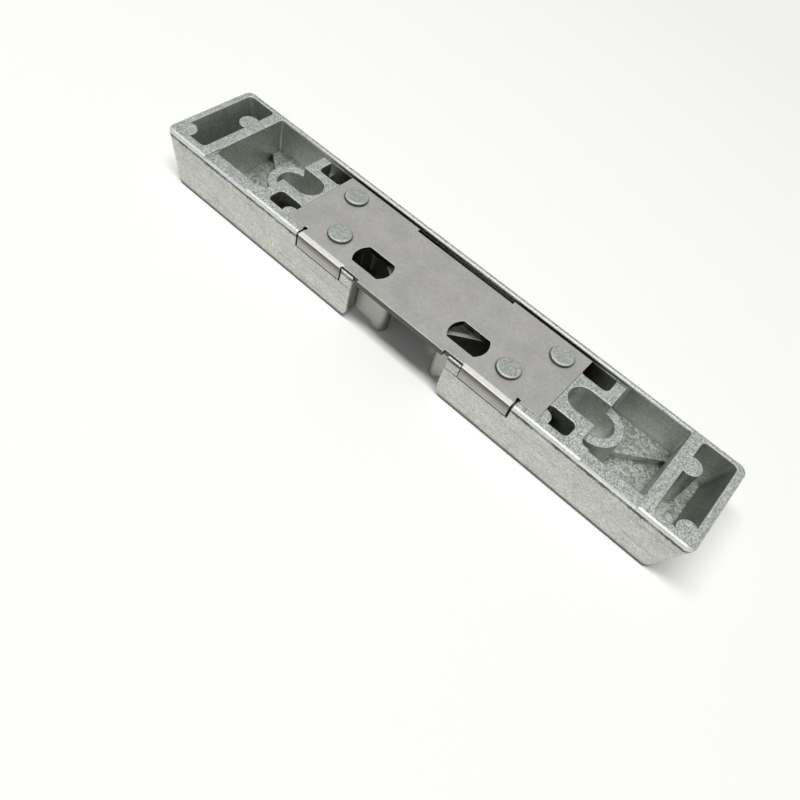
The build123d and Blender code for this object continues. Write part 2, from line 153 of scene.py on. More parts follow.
class CatchSpring(bpy.types.PropertyGroup):
    wire: FloatProperty(name="Wire", description="Diameter of the spring wire",
                        default=0.5 * MM, unit="LENGTH")
    outside: FloatProperty(name="Outside", description="Outside diameter of the coil",
                           default=3.78 * MM, unit="LENGTH")
    active: IntProperty(name="Active turns", description="Open turns between the closed ends",
                        default=3, min=2)


class CatchStage(bpy.types.PropertyGroup):
    floor: StringProperty(name="Table", description="Colour of the table", default="#F4F4F2")
    floor_size: FloatProperty(name="Table size", description="Side of the table top",
                              default=4.0, unit="LENGTH")
    lens: FloatProperty(name="Lens", description="Focal length that gives the photo's angle of view",
                        default=33.83, subtype="DISTANCE_CAMERA")


def linear(hex_colour):
    """sRGB hex to the linear colour that a shader socket takes."""
    parts = [int(hex_colour[i:i + 2], 16) / 255 for i in (1, 3, 5)]
    return (*[p / 12.92 if p <= 0.04045 else ((p + 0.055) / 1.055) ** 2.4 for p in parts], 1.0)


def add_node(tree, kind, links=(), **settings):
    """One node with its settings; links gives each socket a value or another node's output."""
    made = tree.nodes.new(kind)
    for name, value in settings.items():
        setattr(made, name, value)
    for socket, source in dict(links).items():
        if isinstance(source, bpy.types.NodeSocket):
            tree.links.new(source, made.inputs[socket])
        else:
            made.inputs[socket].default_value = source
    return made


def new_material(name):
    material = bpy.data.materials.new(name)
    material.use_nodes = True
    material.node_tree.nodes.clear()
    return material, material.node_tree


def finish_surface(tree, shader):
    add_node(tree, "ShaderNodeOutputMaterial", {"Surface": shader.outputs[0]})


def soft_edges(tree, radius):
    """How much a point lies on an edge, from 0 to 1, and the normal rounded over that edge."""
    rounded = add_node(tree, "ShaderNodeBevel", {"Radius": radius}, samples=CORNER_SAMPLES)
    flat = add_node(tree, "ShaderNodeNewGeometry")
    along = add_node(tree, "ShaderNodeVectorMath", {
        0: rounded.outputs[0], 1: flat.outputs["Normal"]}, operation="DOT_PRODUCT")
    edge = add_node(tree, "ShaderNodeMapRange", {
        "Value": along.outputs["Value"], "From Min": 0.995, "From Max": 0.90})
    return edge.outputs[0], rounded.outputs[0]


def painted_corner_shade(tree, reach):
    """Painted shade: 1 in the open, falling to 0.38 in tight corners."""
    open_sky = add_node(tree, "ShaderNodeAmbientOcclusion", {"Distance": reach}, samples=CORNER_SAMPLES)
    return add_node(tree, "ShaderNodeMapRange", {
        "Value": open_sky.outputs["AO"], "From Min": 0.25, "From Max": 0.75,
        "To Min": 0.38, "To Max": 1.0}).outputs[0]


def die_cast_zinc(finish):
    """Zinc alloy, pressure die cast and tumbled: sparkling grain on top, frosty walls, rubbed edges,
    painted highlights on the rims and painted shade in hollows, in corners and along the foot.
    """
    material, tree = new_material("die_cast_zinc")
    place = add_node(tree, "ShaderNodeTexCoord").outputs["Object"]
    edge, rounded = soft_edges(tree, 0.3 * MM)
    x, y, z = add_node(tree, "ShaderNodeSeparateXYZ", {0: place}).outputs
    normal = add_node(tree, "ShaderNodeNewGeometry").outputs["Normal"]
    upward = add_node(tree, "ShaderNodeSeparateXYZ", {0: normal}).outputs["Z"]
    grain = add_node(tree, "ShaderNodeTexNoise", {
        "Vector": place, "Scale": 1 / finish.grain, "Detail": 2.0, "Roughness": 0.7}).outputs["Fac"]

    # the rim, the webs, the bosses and the stud heads, which the tumbling media reached best
    high = add_node(tree, "ShaderNodeMapRange", {
        "Value": z, "From Min": RIM_UP[0], "From Max": RIM_UP[1]})
    raised = add_node(tree, "ShaderNodeMapRange", {
        "Value": z, "From Min": WEBS_UP[0], "From Max": WEBS_UP[1]})
    level = add_node(tree, "ShaderNodeMapRange", {"Value": upward, "From Min": 0.6, "From Max": 0.8})
    top = add_node(tree, "ShaderNodeMath", {
        0: raised.outputs[0], 1: level.outputs[0]}, operation="MULTIPLY").outputs[0]
    # the long outer walls, and the end walls, which lean out towards the rim
    off_middle = add_node(tree, "ShaderNodeMath", {0: y}, operation="ABSOLUTE")
    along = add_node(tree, "ShaderNodeMath", {0: x}, operation="ABSOLUTE")
    leaning = add_node(tree, "ShaderNodeMath", {
        0: z, 1: -END_LEAN, 2: along.outputs[0]}, operation="MULTIPLY_ADD")
    long_wall = add_node(tree, "ShaderNodeMapRange", {
        "Value": off_middle.outputs[0], "From Min": LONG_WALLS[0], "From Max": LONG_WALLS[1]})
    end_wall = add_node(tree, "ShaderNodeMapRange", {
        "Value": leaning.outputs[0], "From Min": END_WALLS[0], "From Max": END_WALLS[1]})
    outside = add_node(tree, "ShaderNodeMath", {
        0: long_wall.outputs[0], 1: end_wall.outputs[0]}, operation="MAXIMUM").outputs[0]
    walls = add_node(tree, "ShaderNodeMix", {
        "Factor": outside, "A": linear(finish.zinc_inside), "B": linear(finish.zinc)}, data_type="RGBA")
    skin = add_node(tree, "ShaderNodeMix", {
        "Factor": top, "A": walls.outputs["Result"], "B": linear(finish.zinc_top)}, data_type="RGBA")

    # single grains catch the light, on top more than on the walls and on the peened heads
    head = add_node(tree, "ShaderNodeMapRange", {
        "Value": z, "From Min": HEADS_UP[0], "From Max": HEADS_UP[1]})
    rest = add_node(tree, "ShaderNodeMapRange", {"Value": head.outputs[0], "To Min": 1.0, "To Max": 0.35})
    lively = add_node(tree, "ShaderNodeMath", {
        0: top, 1: rest.outputs[0]}, operation="MULTIPLY").outputs[0]
    crystals = add_node(tree, "ShaderNodeTexVoronoi", {"Vector": place, "Scale": 1 / finish.grain})
    dark_grain = add_node(tree, "ShaderNodeMapRange", {"Value": lively, "To Min": 0.70, "To Max": 0.38})
    bright_grain = add_node(tree, "ShaderNodeMapRange", {"Value": lively, "To Min": 1.34, "To Max": 1.82})
    sparkle = add_node(tree, "ShaderNodeMapRange", {
        "Value": crystals.outputs["Color"], "To Min": dark_grain.outputs[0],
        "To Max": bright_grain.outputs[0]})
    # patches of 3 mm where the skin is duller
    patches = add_node(tree, "ShaderNodeTexNoise", {
        "Vector": place, "Scale": 1 / (3 * MM), "Detail": 4.0, "Roughness": 0.6})
    dull = add_node(tree, "ShaderNodeMapRange", {
        "Value": patches.outputs["Fac"], "From Min": 0.42, "From Max": 0.7,
        "To Min": 1.0, "To Max": 0.86})
    # a ragged dark line of painted shade under the rim of the long walls, broken in places
    torn = add_node(tree, "ShaderNodeTexNoise", {
        "Vector": place, "Scale": 1 / (0.6 * MM), "Detail": 6.0, "Roughness": 0.85})
    ragged = add_node(tree, "ShaderNodeMath", {
        0: torn.outputs["Fac"], 1: 1.4 * MM, 2: z}, operation="MULTIPLY_ADD")
    above = add_node(tree, "ShaderNodeMapRange", {
        "Value": ragged.outputs[0], "From Min": RIM_SHADE_FOOT[0], "From Max": RIM_SHADE_FOOT[1]})
    below = add_node(tree, "ShaderNodeMapRange", {
        "Value": ragged.outputs[0], "From Min": RIM_SHADE_HEAD[0], "From Max": RIM_SHADE_HEAD[1]})
    painted_line = add_node(tree, "ShaderNodeMath", {
        0: above.outputs[0], 1: below.outputs[0]}, operation="MULTIPLY")
    broken = add_node(tree, "ShaderNodeMapRange", {
        "Value": patches.outputs["Fac"], "From Min": 0.42, "From Max": 0.54,
        "To Min": 0.6, "To Max": 1.0})
    rim_shade_mask = painted_line.outputs[0]
    for layer in (long_wall.outputs[0], broken.outputs[0]):
        rim_shade_mask = add_node(tree, "ShaderNodeMath", {
            0: rim_shade_mask, 1: layer}, operation="MULTIPLY").outputs[0]
    line = add_node(tree, "ShaderNodeMapRange", {"Value": rim_shade_mask, "To Min": 1.0, "To Max": 0.22})
    # painted shade darkens the rounded foot of the outer walls
    painted_foot = add_node(tree, "ShaderNodeMapRange", {
        "Value": z, "From Min": WALL_FOOT_SHADE[0], "From Max": WALL_FOOT_SHADE[1]})
    painted_foot_out = add_node(tree, "ShaderNodeMath", {0: painted_foot.outputs[0], 1: outside}, operation="MULTIPLY")
    painted_foot_shade = add_node(tree, "ShaderNodeMapRange", {
        "Value": painted_foot_out.outputs[0], "To Min": 1.0, "To Max": 0.3})
    # pits all over, and fine streaks along the outer walls
    pits = add_node(tree, "ShaderNodeTexVoronoi", {"Vector": place, "Scale": 1 / (1.6 * MM)})
    pitted = add_node(tree, "ShaderNodeMapRange", {
        "Value": pits.outputs["Distance"], "From Min": 0.03, "From Max": 0.09,
        "To Min": 0.45, "To Max": 1.0})
    streak_map = add_node(tree, "ShaderNodeMapping", {"Vector": place, "Scale": (0.05, 1.0, 1.0)})
    streaks = add_node(tree, "ShaderNodeTexNoise", {
        "Vector": streak_map.outputs[0], "Scale": 1 / (0.5 * MM), "Detail": 2.0})
    streak = add_node(tree, "ShaderNodeMapRange", {
        "Value": streaks.outputs["Fac"], "From Min": 0.58, "From Max": 0.66})
    streak_out = add_node(tree, "ShaderNodeMath", {
        0: streak.outputs[0], 1: outside}, operation="MULTIPLY")
    streaked = add_node(tree, "ShaderNodeMapRange", {
        "Value": streak_out.outputs[0], "To Min": 1.0, "To Max": 0.84})
    # painted shade darkens the jaw room under the plate, as far as the windows beside the plate
    room_long = add_node(tree, "ShaderNodeMapRange", {
        "Value": along.outputs[0], "From Min": ROOM_LONG[0], "From Max": ROOM_LONG[1]})
    room_low = add_node(tree, "ShaderNodeMapRange", {
        "Value": z, "From Min": ROOM_LOW[0], "From Max": ROOM_LOW[1]})
    room_high = add_node(tree, "ShaderNodeMapRange", {
        "Value": z, "From Min": ROOM_HIGH[0], "From Max": ROOM_HIGH[1]})
    indoors = add_node(tree, "ShaderNodeMath", {0: 1.0, 1: outside}, operation="SUBTRACT")
    in_room = indoors.outputs[0]
    for layer in (room_long.outputs[0], room_low.outputs[0], room_high.outputs[0]):
        in_room = add_node(tree, "ShaderNodeMath", {
            0: in_room, 1: layer}, operation="MULTIPLY").outputs[0]
    painted_room_shade = add_node(tree, "ShaderNodeMapRange", {"Value": in_room, "To Min": 1.0, "To Max": 0.55})
    # painted shade makes the groove between the plate and the far wall nearly black
    groove_far = add_node(tree, "ShaderNodeMapRange", {
        "Value": y, "From Min": GROOVE_FAR[0], "From Max": GROOVE_FAR[1]})
    groove_low = add_node(tree, "ShaderNodeMapRange", {
        "Value": z, "From Min": GROOVE_LOW[0], "From Max": GROOVE_LOW[1]})
    in_groove = indoors.outputs[0]
    for layer in (groove_far.outputs[0], groove_low.outputs[0], room_long.outputs[0]):
        in_groove = add_node(tree, "ShaderNodeMath", {
            0: in_groove, 1: layer}, operation="MULTIPLY").outputs[0]
    painted_groove_shade = add_node(tree, "ShaderNodeMapRange", {"Value": in_groove, "To Min": 1.0, "To Max": 0.22})
    # the stud heads are a little darker than the rim, and painted shade darkens their sides
    peened = add_node(tree, "ShaderNodeMapRange", {
        "Value": head.outputs[0], "To Min": 1.0, "To Max": 0.93})
    head_side = add_node(tree, "ShaderNodeMapRange", {"Value": upward, "From Min": 0.5, "From Max": 0.3})
    head_side_shade_mask = add_node(tree, "ShaderNodeMath", {
        0: head.outputs[0], 1: head_side.outputs[0]}, operation="MULTIPLY")
    oiled = add_node(tree, "ShaderNodeMapRange", {
        "Value": head_side_shade_mask.outputs[0], "To Min": 1.0, "To Max": 0.12})
    # the pocket floors are wrinkled and unevenly stained where the metal met itself, with a painted sheen
    # on the light parts of the wrinkles
    wrinkles = add_node(tree, "ShaderNodeTexNoise", {
        "Vector": place, "Scale": 1 / (1.1 * MM), "Detail": 4.0, "Distortion": 1.5})
    floor_up = add_node(tree, "ShaderNodeMapRange", {"Value": upward, "From Min": 0.7, "From Max": 0.9})
    floor_low = add_node(tree, "ShaderNodeMapRange", {
        "Value": z, "From Min": FLOORS_LOW[0], "From Max": FLOORS_LOW[1]})
    on_floor = add_node(tree, "ShaderNodeMath", {
        0: floor_up.outputs[0], 1: floor_low.outputs[0]}, operation="MULTIPLY")
    floor_stain = add_node(tree, "ShaderNodeMapRange", {
        "Value": on_floor.outputs[0], "To Min": 1.0, "To Max": 0.76})
    painted_floor_sheen = add_node(tree, "ShaderNodeMapRange", {
        "Value": on_floor.outputs[0], "To Min": 1.0, "To Max": 1.38})
    stains_and_painted_sheen = add_node(tree, "ShaderNodeMapRange", {
        "Value": wrinkles.outputs["Fac"], "From Min": 0.40, "From Max": 0.62,
        "To Min": floor_stain.outputs[0], "To Max": painted_floor_sheen.outputs[0]})
    # all the marks multiply: dull patches, pits, streaks, stains and the heads' tone are real; the rim
    # line, the foot, the jaw room, the groove, the head sides and the corners are painted shade, and the
    # floors get a painted sheen
    shade = sparkle.outputs[0]
    for layer in (dull.outputs[0], line.outputs[0], painted_foot_shade.outputs[0], pitted.outputs[0],
                  streaked.outputs[0], painted_room_shade.outputs[0], painted_groove_shade.outputs[0], peened.outputs[0],
                  oiled.outputs[0], stains_and_painted_sheen.outputs[0], painted_corner_shade(tree, 0.9 * MM)):
        shade = add_node(tree, "ShaderNodeMath", {0: shade, 1: layer}, operation="MULTIPLY").outputs[0]
    grained = add_node(tree, "ShaderNodeVectorMath", {
        0: skin.outputs["Result"], "Scale": shade}, operation="SCALE")

    # sharp edges on top rubbed bright, and painted highlights along the near rim, ragged towards the
    # webs, and along a line on the far rim
    rim_from = add_node(tree, "ShaderNodeMath", {
        0: torn.outputs["Fac"], 1: 0.5 * MM, 2: y}, operation="MULTIPLY_ADD")
    near_rim_highlight = add_node(tree, "ShaderNodeMapRange", {
        "Value": rim_from.outputs[0], "From Min": NEAR_RIM_HIGHLIGHT[0], "From Max": NEAR_RIM_HIGHLIGHT[1]})
    rim_line = add_node(tree, "ShaderNodeMapRange", {
        "Value": y, "From Min": FAR_LINE_END[0], "From Max": FAR_LINE_END[1]})
    far_half = add_node(tree, "ShaderNodeMapRange", {
        "Value": y, "From Min": FAR_LINE_START[0], "From Max": FAR_LINE_START[1]})
    rim_long = add_node(tree, "ShaderNodeMapRange", {
        "Value": along.outputs[0], "From Min": FAR_LINE_LONG[0], "From Max": FAR_LINE_LONG[1]})
    far_rim_highlight = rim_long.outputs[0]
    for layer in (rim_line.outputs[0], far_half.outputs[0]):
        far_rim_highlight = add_node(tree, "ShaderNodeMath", {
            0: far_rim_highlight, 1: layer}, operation="MULTIPLY").outputs[0]
    rubbed_edges_and_highlights = edge
    for layer in (near_rim_highlight.outputs[0], far_rim_highlight):
        rubbed_edges_and_highlights = add_node(tree, "ShaderNodeMath", {0: rubbed_edges_and_highlights, 1: layer}, operation="MAXIMUM").outputs[0]
    specks = add_node(tree, "ShaderNodeMapRange", {
        "Value": grain, "From Min": 0.38, "From Max": 0.52, "To Min": 0.25, "To Max": 1.0})
    wear_and_highlight = rubbed_edges_and_highlights
    for layer in (high.outputs[0], specks.outputs[0]):
        wear_and_highlight = add_node(tree, "ShaderNodeMath", {0: wear_and_highlight, 1: layer}, operation="MULTIPLY").outputs[0]
    rubbed = add_node(tree, "ShaderNodeMix", {
        "Factor": wear_and_highlight, "A": grained.outputs[0], "B": linear(finish.zinc_wear_and_highlight)}, data_type="RGBA")
    frosty = add_node(tree, "ShaderNodeMapRange", {"Value": top, "To Min": 0.46, "To Max": 0.38})
    rough = add_node(tree, "ShaderNodeMath", {
        0: wear_and_highlight, 1: -0.08, 2: frosty.outputs[0]}, operation="MULTIPLY_ADD")

    wrinkled = add_node(tree, "ShaderNodeBump", {
        "Strength": on_floor.outputs[0], "Distance": 0.16 * MM, "Height": wrinkles.outputs["Fac"],
        "Normal": rounded})
    depth = add_node(tree, "ShaderNodeMapRange", {"Value": top, "To Min": 0.45, "To Max": 1.0})
    bump = add_node(tree, "ShaderNodeBump", {
        "Strength": depth.outputs[0], "Distance": 0.05 * MM, "Height": grain,
        "Normal": wrinkled.outputs[0]})
    shader = add_node(tree, "ShaderNodeBsdfPrincipled", {
        "Base Color": rubbed.outputs["Result"], "Metallic": 1.0, "Roughness": rough.outputs[0],
        "Normal": bump.outputs[0]})
    finish_surface(tree, shader)
    return material


def zinc_coated_sheet(finish, tab_foot):
    """Cold-rolled sheet, zinc coated, sheared and pressed: satin, dark cut edges, bends with a painted
    highlight and a painted dark reflection, painted shade round the studs and in corners.
    """
    material, tree = new_material("zinc_coated_sheet")
    place = add_node(tree, "ShaderNodeTexCoord").outputs["Object"]
    edge, rounded = soft_edges(tree, 0.15 * MM)
    x, y, z = add_node(tree, "ShaderNodeSeparateXYZ", {0: place}).outputs
    normal = add_node(tree, "ShaderNodeNewGeometry").outputs["Normal"]
    upward = add_node(tree, "ShaderNodeSeparateXYZ", {0: normal}).outputs["Z"]
    stretched = add_node(tree, "ShaderNodeMapping", {"Vector": place, "Scale": (0.06, 1.0, 1.0)})
    # rolling lines about 0.3 mm apart, handling marks of some 5 mm and fine spangle
    rolled = add_node(tree, "ShaderNodeTexNoise", {
        "Vector": stretched.outputs[0], "Scale": 1 / (0.3 * MM), "Detail": 2.0})
    marks = add_node(tree, "ShaderNodeTexNoise", {
        "Vector": place, "Scale": 1 / (5 * MM), "Detail": 5.0, "Roughness": 0.6})
    spangle = add_node(tree, "ShaderNodeTexNoise", {
        "Vector": place, "Scale": 1 / (0.5 * MM), "Detail": 3.0})
    cloud = add_node(tree, "ShaderNodeMapRange", {
        "Value": marks.outputs["Fac"], "From Min": 0.40, "From Max": 0.72, "To Max": 0.8})
    sheet = add_node(tree, "ShaderNodeMix", {
        "Factor": cloud.outputs[0], "A": linear(finish.plate), "B": linear(finish.plate_dull)},
        data_type="RGBA")

    # the tabs lie on both sides of the lip over the mouth and bend down over the near wall
    along = add_node(tree, "ShaderNodeMath", {0: x}, operation="ABSOLUTE")
    tab_long = add_node(tree, "ShaderNodeMapRange", {
        "Value": along.outputs[0], "From Min": TABS_LONG[0], "From Max": TABS_LONG[1]})
    tab_near = add_node(tree, "ShaderNodeMapRange", {
        "Value": y, "From Min": TABS_NEAR[0], "From Max": TABS_NEAR[1]})
    tab = add_node(tree, "ShaderNodeMath", {
        0: tab_long.outputs[0], 1: tab_near.outputs[0]}, operation="MULTIPLY").outputs[0]
    # a painted dark reflection on the lower half of the bend, and fine lines drawn down the tab
    bend_reflection_top = add_node(tree, "ShaderNodeMapRange", {
        "Value": z, "From Min": BEND_REFLECTION_TOP[0], "From Max": BEND_REFLECTION_TOP[1]})
    bend_reflection_foot = add_node(tree, "ShaderNodeMapRange", {
        "Value": z, "From Min": BEND_REFLECTION_FOOT[0], "From Max": BEND_REFLECTION_FOOT[1], "To Min": 0.25, "To Max": 1.0})
    dark = add_node(tree, "ShaderNodeMath", {
        0: bend_reflection_top.outputs[0], 1: bend_reflection_foot.outputs[0]}, operation="MULTIPLY")
    painted_bend_reflection = add_node(tree, "ShaderNodeMath", {0: dark.outputs[0], 1: tab}, operation="MULTIPLY")
    # a painted highlight at the top of the bend
    bend_highlight_top = add_node(tree, "ShaderNodeMapRange", {
        "Value": z, "From Min": BEND_HIGHLIGHT_TOP[0], "From Max": BEND_HIGHLIGHT_TOP[1]})
    bend_highlight_start = add_node(tree, "ShaderNodeMapRange", {
        "Value": y, "From Min": BEND_HIGHLIGHT_START[0], "From Max": BEND_HIGHLIGHT_START[1]})
    bend_highlight = tab
    for layer in (bend_highlight_top.outputs[0], bend_highlight_start.outputs[0]):
        bend_highlight = add_node(tree, "ShaderNodeMath", {
            0: bend_highlight, 1: layer}, operation="MULTIPLY").outputs[0]
    bright = add_node(tree, "ShaderNodeMix", {
        "Factor": bend_highlight, "A": sheet.outputs["Result"], "B": linear(finish.plate_bend_highlight)},
        data_type="RGBA")
    # the painted dark reflection goes over the bend's colour
    pressed = add_node(tree, "ShaderNodeMix", {
        "Factor": painted_bend_reflection.outputs[0], "A": bright.outputs["Result"], "B": linear(finish.plate_bend_reflection)},
        data_type="RGBA")
    drawn_map = add_node(tree, "ShaderNodeMapping", {"Vector": place, "Scale": (1.0, 0.05, 0.05)})
    drawn = add_node(tree, "ShaderNodeTexNoise", {
        "Vector": drawn_map.outputs[0], "Scale": 1 / finish.draw_line, "Detail": 2.0})

    # sheared edges made dark, with a painted highlight line along the upper face's edges
    upright = add_node(tree, "ShaderNodeMapRange", {"Value": upward, "From Min": 0.6, "From Max": 0.4})
    flat_part = add_node(tree, "ShaderNodeMath", {0: 1.0, 1: tab}, operation="SUBTRACT")
    sheared = add_node(tree, "ShaderNodeMath", {
        0: upright.outputs[0], 1: flat_part.outputs[0]}, operation="MULTIPLY")
    cut = add_node(tree, "ShaderNodeMix", {
        "Factor": sheared.outputs[0], "A": pressed.outputs["Result"], "B": linear(finish.plate_cut)},
        data_type="RGBA")
    upper = add_node(tree, "ShaderNodeMapRange", {
        "Value": z, "From Min": SHEET_TOP[0], "From Max": SHEET_TOP[1]})
    painted_line = add_node(tree, "ShaderNodeMath", {0: edge, 1: upper.outputs[0]}, operation="MULTIPLY")
    edge_highlighted = add_node(tree, "ShaderNodeMix", {
        "Factor": painted_line.outputs[0], "A": cut.outputs["Result"], "B": linear(finish.zinc_wear_and_highlight)},
        data_type="RGBA")
    fleck = add_node(tree, "ShaderNodeMapRange", {
        "Value": spangle.outputs["Fac"], "From Min": 0.3, "From Max": 0.7,
        "To Min": 0.93, "To Max": 1.07})
    # a ring of painted shade round each stud head
    folded = add_node(tree, "ShaderNodeCombineXYZ", {"X": along.outputs[0], "Y": y}).outputs[0]
    from_studs = [add_node(tree, "ShaderNodeVectorMath", {
        0: folded, 1: stud}, operation="DISTANCE").outputs["Value"] for stud in STUDS]
    nearest = add_node(tree, "ShaderNodeMath", {0: from_studs[0], 1: from_studs[1]}, operation="MINIMUM")
    painted_ring_shade = add_node(tree, "ShaderNodeMapRange", {
        "Value": nearest.outputs[0], "From Min": HEAD_RING_SHADE[0], "From Max": HEAD_RING_SHADE[1],
        "To Min": 0.4, "To Max": 1.0})
    # up the first millimetre of a tab: a painted shade line where it meets the wall, then a lighter band
    up_tab = add_node(tree, "ShaderNodeMapRange", {
        "Value": z, "From Min": tab_foot, "From Max": tab_foot + MM})
    bands = add_node(tree, "ShaderNodeValToRGB", {"Fac": up_tab.outputs[0]})
    stops = bands.color_ramp.elements
    for height, tone in TAB_BANDS:
        stops.new(height).color = (tone, tone, tone, 1.0)
    stops[0].color, stops[-1].color = stops[1].color, stops[-2].color
    band = add_node(tree, "ShaderNodeMath", {0: bands.outputs["Color"], 1: 0.32}, operation="ADD")
    banded = add_node(tree, "ShaderNodeMapRange", {
        "Value": tab, "To Min": 1.0, "To Max": band.outputs[0]})
    # the spangle, the painted shade round the studs and in corners, and the tab's bands multiply
    shade = fleck.outputs[0]
    for layer in (painted_ring_shade.outputs[0], banded.outputs[0], painted_corner_shade(tree, 0.5 * MM)):
        shade = add_node(tree, "ShaderNodeMath", {0: shade, 1: layer}, operation="MULTIPLY").outputs[0]
    colour = add_node(tree, "ShaderNodeVectorMath", {
        0: edge_highlighted.outputs["Result"], "Scale": shade}, operation="SCALE")

    gloss = add_node(tree, "ShaderNodeMapRange", {
        "Value": marks.outputs["Fac"], "From Min": 0.3, "From Max": 0.7, "To Min": 0.36, "To Max": 0.44})
    lines = add_node(tree, "ShaderNodeMix", {
        "Factor": tab, "A": rolled.outputs["Fac"], "B": drawn.outputs["Fac"]}, data_type="FLOAT")
    strength = add_node(tree, "ShaderNodeMapRange", {"Value": tab, "To Min": 0.10, "To Max": 0.35})
    bump = add_node(tree, "ShaderNodeBump", {
        "Strength": strength.outputs[0], "Distance": 0.02 * MM, "Height": lines.outputs["Result"],
        "Normal": rounded})
    shader = add_node(tree, "ShaderNodeBsdfPrincipled", {
        "Base Color": colour.outputs[0], "Metallic": 1.0, "Roughness": gloss.outputs[0],
        "Normal": bump.outputs[0]})
    finish_surface(tree, shader)
    return material


def bent_spring_strip(finish):
    """Hardened strip, bent: satin beige grey with fine rolling lines along the strip."""
    material, tree = new_material("bent_spring_strip")
    place = add_node(tree, "ShaderNodeTexCoord").outputs["Object"]
    rounded = add_node(tree, "ShaderNodeBevel", {"Radius": 0.12 * MM}, samples=CORNER_SAMPLES)
    stretched = add_node(tree, "ShaderNodeMapping", {"Vector": place, "Scale": (0.08, 0.08, 1.0)})
    lines = add_node(tree, "ShaderNodeTexNoise", {
        "Vector": stretched.outputs[0], "Scale": 1 / (0.25 * MM), "Detail": 2.0})
    tone = add_node(tree, "ShaderNodeMapRange", {
        "Value": lines.outputs["Fac"], "From Min": 0.3, "From Max": 0.7, "To Min": 0.92, "To Max": 1.05})
    colour = add_node(tree, "ShaderNodeVectorMath", {
        0: linear(finish.strip)[:3], "Scale": tone.outputs[0]}, operation="SCALE")
    bump = add_node(tree, "ShaderNodeBump", {
        "Strength": 0.2, "Distance": 0.02 * MM, "Height": lines.outputs["Fac"],
        "Normal": rounded.outputs[0]})
    shader = add_node(tree, "ShaderNodeBsdfPrincipled", {
        "Base Color": colour.outputs[0], "Metallic": 1.0, "Roughness": 0.42, "Normal": bump.outputs[0]})
    finish_surface(tree, shader)
    return material


def drawn_spring_wire(finish):
    """Drawn and oiled spring wire: dark grey and smooth, with soft darker and paler patches."""
    material, tree = new_material("drawn_spring_wire")
    place = add_node(tree, "ShaderNodeTexCoord").outputs["Object"]
    cloud = add_node(tree, "ShaderNodeTexNoise", {
        "Vector": place, "Scale": 1 / (0.8 * MM), "Detail": 3.0})
    tone = add_node(tree, "ShaderNodeMapRange", {
        "Value": cloud.outputs["Fac"], "From Min": 0.3, "From Max": 0.7, "To Min": 0.85, "To Max": 1.08})
    colour = add_node(tree, "ShaderNodeVectorMath", {
        0: linear(finish.wire)[:3], "Scale": tone.outputs[0]}, operation="SCALE")
    shader = add_node(tree, "ShaderNodeBsdfPrincipled", {
        "Base Color": colour.outputs[0], "Metallic": 1.0, "Roughness": 0.34})
    finish_surface(tree, shader)
    return material


def dress(obj, material):
    obj.data.materials.clear()
    obj.data.materials.append(material)


def object_from(bm, name):
    bmesh.ops.recalc_face_normals(bm, faces=bm.faces)
    mesh = bpy.data.meshes.new(name)
    bm.to_mesh(mesh)
    bm.free()
    obj = bpy.data.objects.new(name, mesh)
    bpy.context.scene.collection.objects.link(obj)
    return obj


class CATCH_OT_housing(bpy.types.Operator):
    """Give the cast housing its zinc"""
    bl_idname = "catch.housing"
    bl_label = "Cast housing"

    def execute(self, context):
        dress(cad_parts["casing"], die_cast_zinc(context.scene.catch_finish))
        return {"FINISHED"}


class CATCH_OT_back_plate(bpy.types.Operator):
    """Give the back plate its zinc-coated sheet"""
    bl_idname = "catch.back_plate"
    bl_label = "Back plate"

    def execute(self, context):
        tab_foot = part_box("back_plate")[0].z
        dress(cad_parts["back_plate"], zinc_coated_sheet(context.scene.catch_finish, tab_foot))
        return {"FINISHED"}


class CATCH_OT_jaws(bpy.types.Operator):
    """Give both jaws their bent strip"""
    bl_idname = "catch.jaws"
    bl_label = "Jaws"

    def execute(self, context):
        strip = bent_spring_strip(context.scene.catch_finish)
        dress(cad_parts["jaw_left"], strip)
        dress(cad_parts["jaw_right"], strip)
        return {"FINISHED"}


class CATCH_OT_springs(bpy.types.Operator):
    """Wind the two coil springs behind the jaws, with closed ends"""
    bl_idname = "catch.springs"
    bl_label = "Jaw springs"

    def execute(self, context):
        sizes = context.scene.catch_spring
        wire = drawn_spring_wire(context.scene.catch_finish)
        for side, body in (("left", "left_jaw"), ("right", "right_jaw")):
            low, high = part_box("jaw_spring_" + side)
            coil = wind_spring("wound_spring_" + side, low, high, sizes)
            dress(coil, wire)
            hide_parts("jaw_spring_" + side)
            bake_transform(coil)
        return {"FINISHED"}


def wind_spring(name, low, high, sizes):
    """A round wire spun about X: one closed turn, the open turns, one closed turn."""
    radius = (sizes.outside - sizes.wire) / 2
    middle = (low + high) / 2
    length = high.x - low.x - sizes.wire
    closed = sizes.wire * CLOSED_PITCH
    pitch = (length - 2 * closed) / sizes.active
    bm = bmesh.new()
    ring = bmesh.ops.create_circle(bm, cap_ends=False, segments=WIRE_SIDES,
                                   radius=sizes.wire / 2)["verts"]
    place = Vector((low.x + sizes.wire / 2, middle.y + radius, middle.z))
    # the wire's section lies across its first direction, which is along Z
    bmesh.ops.translate(bm, verts=ring, vec=place)
    section = list({edge for vert in ring for edge in vert.link_edges})
    bmesh.ops.contextual_create(bm, geom=section)
    for turns, rise in ((1, closed), (sizes.active, pitch), (1, closed)):
        done = bmesh.ops.spin(bm, geom=section, cent=(place.x, middle.y, middle.z), axis=(1, 0, 0),
                              dvec=(rise / TURN_STEPS, 0, 0), angle=2 * math.pi * turns,
                              steps=TURN_STEPS * turns, use_merge=False, use_duplicate=False)
        section = [part for part in done["geom_last"] if isinstance(part, bmesh.types.BMEdge)]
    bmesh.ops.contextual_create(bm, geom=section)
    bmesh.ops.remove_doubles(bm, verts=bm.verts, dist=0.001 * MM)
    for face in bm.faces:
        face.smooth = len(face.verts) == 4
    return object_from(bm, name)


